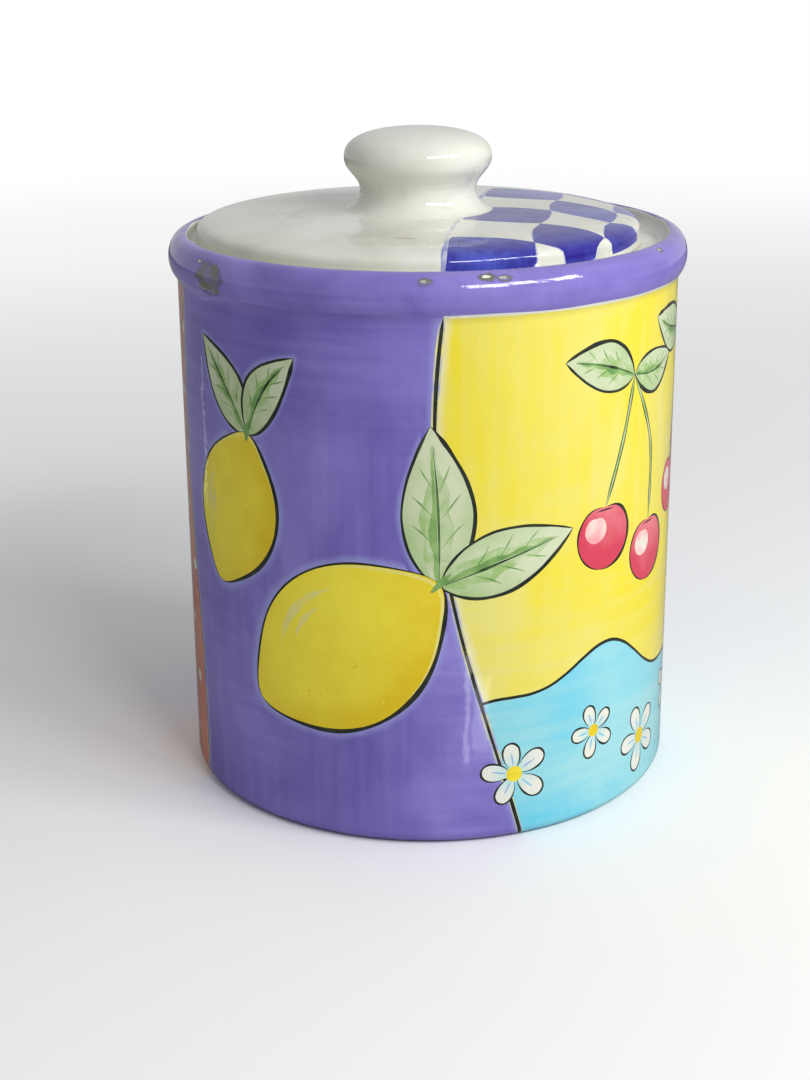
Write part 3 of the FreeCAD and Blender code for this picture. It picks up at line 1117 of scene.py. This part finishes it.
def lid_inside(sizes):
    """The outline from the vent under the dome and round the flange to the lip's foot."""
    ledge = ledge_level(sizes)
    flange = RIM_RADIUS - sizes.rim_width - sizes.lip_round - sizes.cove - sizes.ledge - sizes.lid_play
    inner = flange - sizes.flange_wall
    under = CROWN - sizes.lid_wall
    half = sizes.flange_wall / 2
    middle = (inner + half, FLANGE_BOTTOM + half)
    arch = bend((inner, ledge), (0, 1), (inner - LID_SHOULDER, under), (-1, 0), 12)
    return joined(
        softened([(LID_RADIUS - LIP_ROUND, ledge), (flange, ledge), (flange, middle[1])], 0.8),
        arc(middle, half, 0, -180, 12),
        stretch((inner, middle[1]), (inner, ledge), 3),
        arch,
        softened([arch[-1], (sizes.vent, under), (sizes.vent, CROWN), (UNDER_KNOB, CROWN)], 0.7),
    )[::-1]


def on_lid(outline):
    """Lays a point of the lid's painting, its place across and away from its axis, on the lid."""
    def lay(point):
        along = math.hypot(*point)
        reach, height, facing = outline.at(along)
        across, away = point[0] / along, point[1] / along
        place = Vector((LID_SHIFT + reach * across, reach * away, height)) * MM
        return place, Vector((facing.x * across, facing.x * away, facing.y)).normalized()
    return lay


def ring(radius):
    return oval((0, 0), radius, radius, COLUMNS)


def lid_painting(outline):
    """White glaze with a cobalt check over the right-hand side."""
    painting = Painting(5)
    for along in outline.along:
        painting.points += ring(along)
    painting.shape(ring(outline.along[-1]), "lid_white")

    def flat(x, y):
        """The place in the drawing of a point of the lid as seen from above."""
        reach = math.hypot(x, y)
        i = next((i for i, point in enumerate(outline.points) if point[0] >= reach), None)
        if i == 0:
            return x, y
        if i is None:
            along = outline.along[-1] + reach - LID_RADIUS
        else:
            before, after = outline.points[i - 1][0], outline.points[i][0]
            share = (reach - before) / max(after - before, 1e-6)
            along = outline.along[i - 1] + (outline.along[i] - outline.along[i - 1]) * share
        return x / reach * along, y / reach * along

    round_edge = []
    for turn in turns(220):
        margin = CHECK_MARGIN * max(0.0, math.cos(turn + 0.2)) ** 2
        reach = outline.along[-1] - 0.3 - margin + 0.25 * math.sin(9 * turn)
        round_edge.append((reach * math.cos(turn), reach * math.sin(turn)))
    limit = painting.shape(round_edge, "lid_white")
    for column, (left, right) in enumerate(zip(CHECK, CHECK[1:])):
        for row in range(column % 2, len(left) - 1, 2):
            corners = (left[row], right[row], right[row + 1], left[row + 1])
            for grow, paint in ((0.45, "cobalt_edge"), (0.0, "cobalt_paint")):
                cell = brushed_cell(painting, corners, grow)
                painting.shape([flat(x, y) for x, y in cell], paint, within=limit)
    painting.line([flat(x - 1.4, y) for x, y in CHECK[0]], 1.5, "cobalt_edge", 0.05, limit)
    painting.shape(ring(outline.along[0]), None)
    return painting


def brushed_cell(painting, corners, grow):
    """The outline of one painted square with soft corners and sides that belly out."""
    corners = [Vector(corner) for corner in corners]
    middle = sum(corners, Vector((0, 0))) / 4
    outline = []
    for start, end in closed(corners):
        wave = painting.wave(0.34, 1.6)
        out = Vector((end.y - start.y, start.x - end.x)).normalized()
        for t in steps(0, 1, 14)[:-1]:
            belly = (0.055 * (end - start).length + wave(t)) * math.sin(math.pi * t)
            point = start.lerp(end, t) + out * belly
            outline.append(tuple(point + (point - middle).normalized() * grow))
    return outline


def knob_outlines(sizes):
    """The outlines of the knob from its foot over its cap, and back down through its hollow."""
    neck_level, cap_level = CROWN + KNOB_NECK_LEVEL, CROWN + KNOB_CAP_LEVEL
    foot = (KNOB_BASE - 1.0, CROWN - KNOB_SUNK)
    hollow_neck, hollow_cap = sizes.knob_neck - sizes.knob_wall, sizes.knob_cap - sizes.knob_wall
    outside = joined(
        [foot],
        bend((KNOB_BASE - 0.2, CROWN - 0.1), (-1, 0.12), (sizes.knob_neck, neck_level), (0, 1), 16),
        bend((sizes.knob_neck, neck_level), (0, 1), (sizes.knob_cap, cap_level), (0, 1), 16),
        dome(cap_level, sizes.knob_cap, KNOB_TOP - cap_level, KNOB_DOME, KNOB_DOME, 0, 30),
    )
    hollow_height = KNOB_TOP - sizes.knob_wall - cap_level
    inside = joined(
        dome(cap_level, hollow_cap, hollow_height, KNOB_DOME, KNOB_DOME, 0, 14)[::-1],
        bend((hollow_cap, cap_level), (0, -1), (hollow_neck, neck_level), (0, -1), 8),
        [(hollow_neck, foot[1]), foot],
    )
    return outside, inside


# Operators, one for each piece and one for the stage

def prepared(scene):
    """The user's sizes in millimetres, once the materials are made."""
    make_materials(scene.jar_colours)
    return SimpleNamespace(**{
        name: round(getattr(scene.jar_sizes, name) / MM, 4) for name in JarSizes.__annotations__})


class JAR_OT_body(bpy.types.Operator):
    """Make the jar's painted body, with its rolled rim, its gallery and its foot ring"""
    bl_idname = "object.jar_body"
    bl_label = "Jar body"

    def execute(self, context):
        sizes = prepared(context.scene)
        radius = body_radius(sizes)
        outline = jar_outside(sizes)
        painting = jar_painting(outline, radius)
        sheet, normals = painted_sheet(painting, JAR_PAINTS, on_jar(outline, radius))
        recess, foot_ring = jar_underside(sizes)
        stretches = [turned(recess, "white_glaze"), turned(foot_ring, "bare_clay"),
                     turned(jar_inside(sizes, outline.points[-1]), "white_glaze")]
        jar = finished_piece("painted_jar", sheet, normals, stretches, JAR_PAINTS)
        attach(jar, "jar")
        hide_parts("jar_foot", "jar_wall", "jar_rim")
        return {"FINISHED"}


class JAR_OT_lid(bpy.types.Operator):
    """Make the lid's checked dome and the flange under it"""
    bl_idname = "object.jar_lid"
    bl_label = "Lid"

    def execute(self, context):
        sizes = prepared(context.scene)
        outline = lid_outside(sizes)
        sheet, normals = painted_sheet(lid_painting(outline), LID_PAINTS, on_lid(outline))
        stretches = [turned(lid_inside(sizes), "white_glaze", LID_SHIFT)]
        lid = finished_piece("painted_lid", sheet, normals, stretches, LID_PAINTS)
        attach(lid, "lid_and_knob")
        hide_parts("lid")
        return {"FINISHED"}


class JAR_OT_knob(bpy.types.Operator):
    """Make the hollow knob that is luted onto the lid's crown"""
    bl_idname = "object.jar_knob"
    bl_label = "Knob"

    def execute(self, context):
        outside, inside = knob_outlines(prepared(context.scene))
        stretches = [turned(outside, "knob_white", LID_SHIFT), turned(inside, "bare_clay", LID_SHIFT)]
        knob = finished_piece("glazed_knob", bmesh.new(), [], stretches, KNOB_PAINTS)
        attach(knob, "lid_and_knob")
        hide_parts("knob")
        return {"FINISHED"}


def power(name, description, watts):
    return bpy.props.FloatProperty(name=name, description=description, default=watts, subtype="POWER")


class StageSettings(bpy.types.PropertyGroup):
    """The light and the floor"""
    key: power("Key", "Power of the window light", 12.5)
    fill: power("Fill", "Power of the fill light", 2.4)
    gleam: power("Gleam", "Power of the low gleam on the wall", 0.05)
    sky: bpy.props.FloatProperty(name="Room", description="Strength of the room's light", default=0.34)
    floor: colour("Floor", 232, 232, 232)


# The window's middle, and the way from one of its three panes to the next
WINDOW = Vector((0.72, -0.70, 0.86))
NEXT_PANE = Vector((0.70, 0.72, 0.0)) * 0.36
# Thin lights that stand for what the wall mirrors: name, place, width and height, and share of the gleam
GLEAMS = (
    ("low gleam", (0.030, -0.142, 0.026), (0.004, 0.046), 0.055),
    ("low gleam beside", (0.041, -0.139, 0.022), (0.012, 0.034), 0.032),
    ("side gleam", (-0.23, 0.071, 0.087), (0.005, 0.07), 0.016),
)
GLEAM_AREA = 2.5e-4
FLOOR_DROP = 0.0002
# The camera that was fitted to the jar's outlines in the photograph, with its angles in radians
CAMERA_PLACE = (0, -0.6664, 0.3112)
CAMERA_TILT = math.radians(70.993)
CAMERA_TURN = 0.0134
CAMERA_ROLL = -0.008
CAMERA_LENS = 61.743


def area_light(name, place, aim, size, watts):
    light = bpy.data.lights.new(name, "AREA")
    light.shape = "RECTANGLE"
    light.size, light.size_y = size
    light.energy = watts
    lamp = new_object(name, light)
    lamp.location = place
    lamp.rotation_euler = (Vector(aim) - Vector(place)).to_track_quat("-Z", "Y").to_euler()
    lamp.visible_camera = False
    return lamp


def light_paths(tree, *names):
    return signals(tree, tree.nodes.new("ShaderNodeLightPath").outputs, names)


def mixed_shaders(share, first, second):
    return node(share.tree, "ShaderNodeMixShader", {0: share, 1: first, 2: second})


def make_floor(shade):
    """A round floor that takes the object's shadow and fades out into the white room for the camera."""
    mesh = bpy.data.meshes.new("floor")
    sheet = bmesh.new()
    bmesh.ops.create_circle(sheet, cap_ends=True, segments=96, radius=2.0)
    sheet.to_mesh(mesh)
    sheet.free()
    floor = new_object("floor", mesh)
    floor.location = (0, 0, -FLOOR_DROP)
    material = bpy.data.materials.new("floor")
    shader = shader_of(material)
    shader.inputs["Roughness"].default_value = 0.9
    shader.inputs["Specular IOR Level"].default_value = 0.0
    tree = material.node_tree
    camera, glossy = light_paths(tree, "Is Camera Ray", "Is Glossy Ray")
    mirrored = blended(glossy, linear(shade), (0.35, 0.35, 0.35, 1))
    blended(camera, mirrored, (0.94, 0.94, 0.94, 1)).into(shader.inputs["Base Color"])
    away = node(tree, "ShaderNodeVectorMath", {0: object_place(tree)}, operation="LENGTH")
    clear = node(tree, "ShaderNodeBsdfTransparent")
    output = next(made for made in tree.nodes if made.type == "OUTPUT_MATERIAL")
    mixed_shaders(spread(away, 0.1, 1.7) * camera, Signal(tree, shader.outputs[0]), clear).into(
        output.inputs["Surface"])
    mesh.materials.append(material)


def make_world(strength):
    """A pale room to light the jar, which the camera sees as white."""
    world = bpy.data.worlds.new("room")
    bpy.context.scene.world = world
    world.use_nodes = True
    tree = world.node_tree
    tree.nodes.clear()
    camera, glossy, through = light_paths(tree, "Is Camera Ray", "Is Glossy Ray", "Is Transmission Ray")
    room = node(tree, "ShaderNodeBackground", {"Color": (0.95, 0.97, 1.0, 1), "Strength": strength})
    white = node(tree, "ShaderNodeBackground", {"Color": (1, 1, 1, 1)})
    output = tree.nodes.new("ShaderNodeOutputWorld")
    mixed_shaders(camera + glossy * 0.4 + through, room, white).into(output.inputs["Surface"])


def make_camera():
    """The camera of the photograph: in front of the jar and above it, turned and tipped by small angles."""
    lens = bpy.data.cameras.new("camera")
    lens.lens = CAMERA_LENS
    lens.sensor_width = 36
    lens.sensor_fit = "AUTO"
    camera = new_object("camera", lens)
    aim = Matrix.Rotation(CAMERA_TURN, 4, "Z") @ Matrix.Rotation(CAMERA_TILT, 4, "X")
    camera.matrix_world = Matrix.Translation(CAMERA_PLACE) @ aim @ Matrix.Rotation(CAMERA_ROLL, 4, "Z")
    bpy.context.scene.camera = camera


class JAR_OT_stage(bpy.types.Operator):
    """Set the camera, the lights, the room and a pale floor"""
    bl_idname = "object.jar_stage"
    bl_label = "Stage"

    def execute(self, context):
        stage = context.scene.jar_stage
        make_floor(stage.floor)
        make_world(stage.sky)
        make_camera()
        for pane in range(3):
            place = WINDOW + NEXT_PANE * (pane - 1)
            area_light(f"window pane {pane + 1}", place, (0, 0, 0.13), (0.31, 0.24), stage.key / 3)
        for name, place, share in (("fill", (1.1, -0.1, 0.45), 1), ("fill behind", (-0.35, 1.1, 0.6), 0.8)):
            area_light(name, place, (0, 0, 0.1), (0.8, 0.8), stage.fill * share).visible_glossy = False
        for name, place, size, share in GLEAMS:
            watts = stage.gleam * share * size[0] * size[1] / GLEAM_AREA
            area_light(name, place, (0, 0, place[2]), size, watts).visible_diffuse = False
        context.scene.view_settings.view_transform = "Standard"
        return {"FINISHED"}


class JAR_PT_panel(bpy.types.Panel):
    """Sizes and colours of the jar, and a button for each piece"""
    bl_idname = "JAR_PT_panel"
    bl_label = "Painted biscuit jar"
    bl_space_type = "VIEW_3D"
    bl_region_type = "UI"
    bl_category = "Jar"

    def draw(self, context):
        column = self.layout.column()
        for operator in (JAR_OT_body, JAR_OT_lid, JAR_OT_knob, JAR_OT_stage):
            column.operator(operator.bl_idname)
        for name, settings in SETTINGS.items():
            for label in settings.__annotations__:
                column.prop(getattr(context.scene, name), label)


SETTINGS = {"jar_sizes": JarSizes, "jar_colours": JarColours, "jar_stage": StageSettings}
CLASSES = (*SETTINGS.values(), JAR_OT_body, JAR_OT_lid, JAR_OT_knob, JAR_OT_stage, JAR_PT_panel)


def register():
    for item in CLASSES:
        bpy.utils.register_class(item)
    for name, settings in SETTINGS.items():
        setattr(bpy.types.Scene, name, bpy.props.PointerProperty(type=settings))


def unregister():
    for name in SETTINGS:
        delattr(bpy.types.Scene, name)
    for item in reversed(CLASSES):
        bpy.utils.unregister_class(item)


def main():
    register()
    bpy.ops.object.jar_body()
    bpy.ops.object.jar_lid()
    bpy.ops.object.jar_knob()
    bpy.ops.object.jar_stage()


if __name__ == "__main__":
    main()
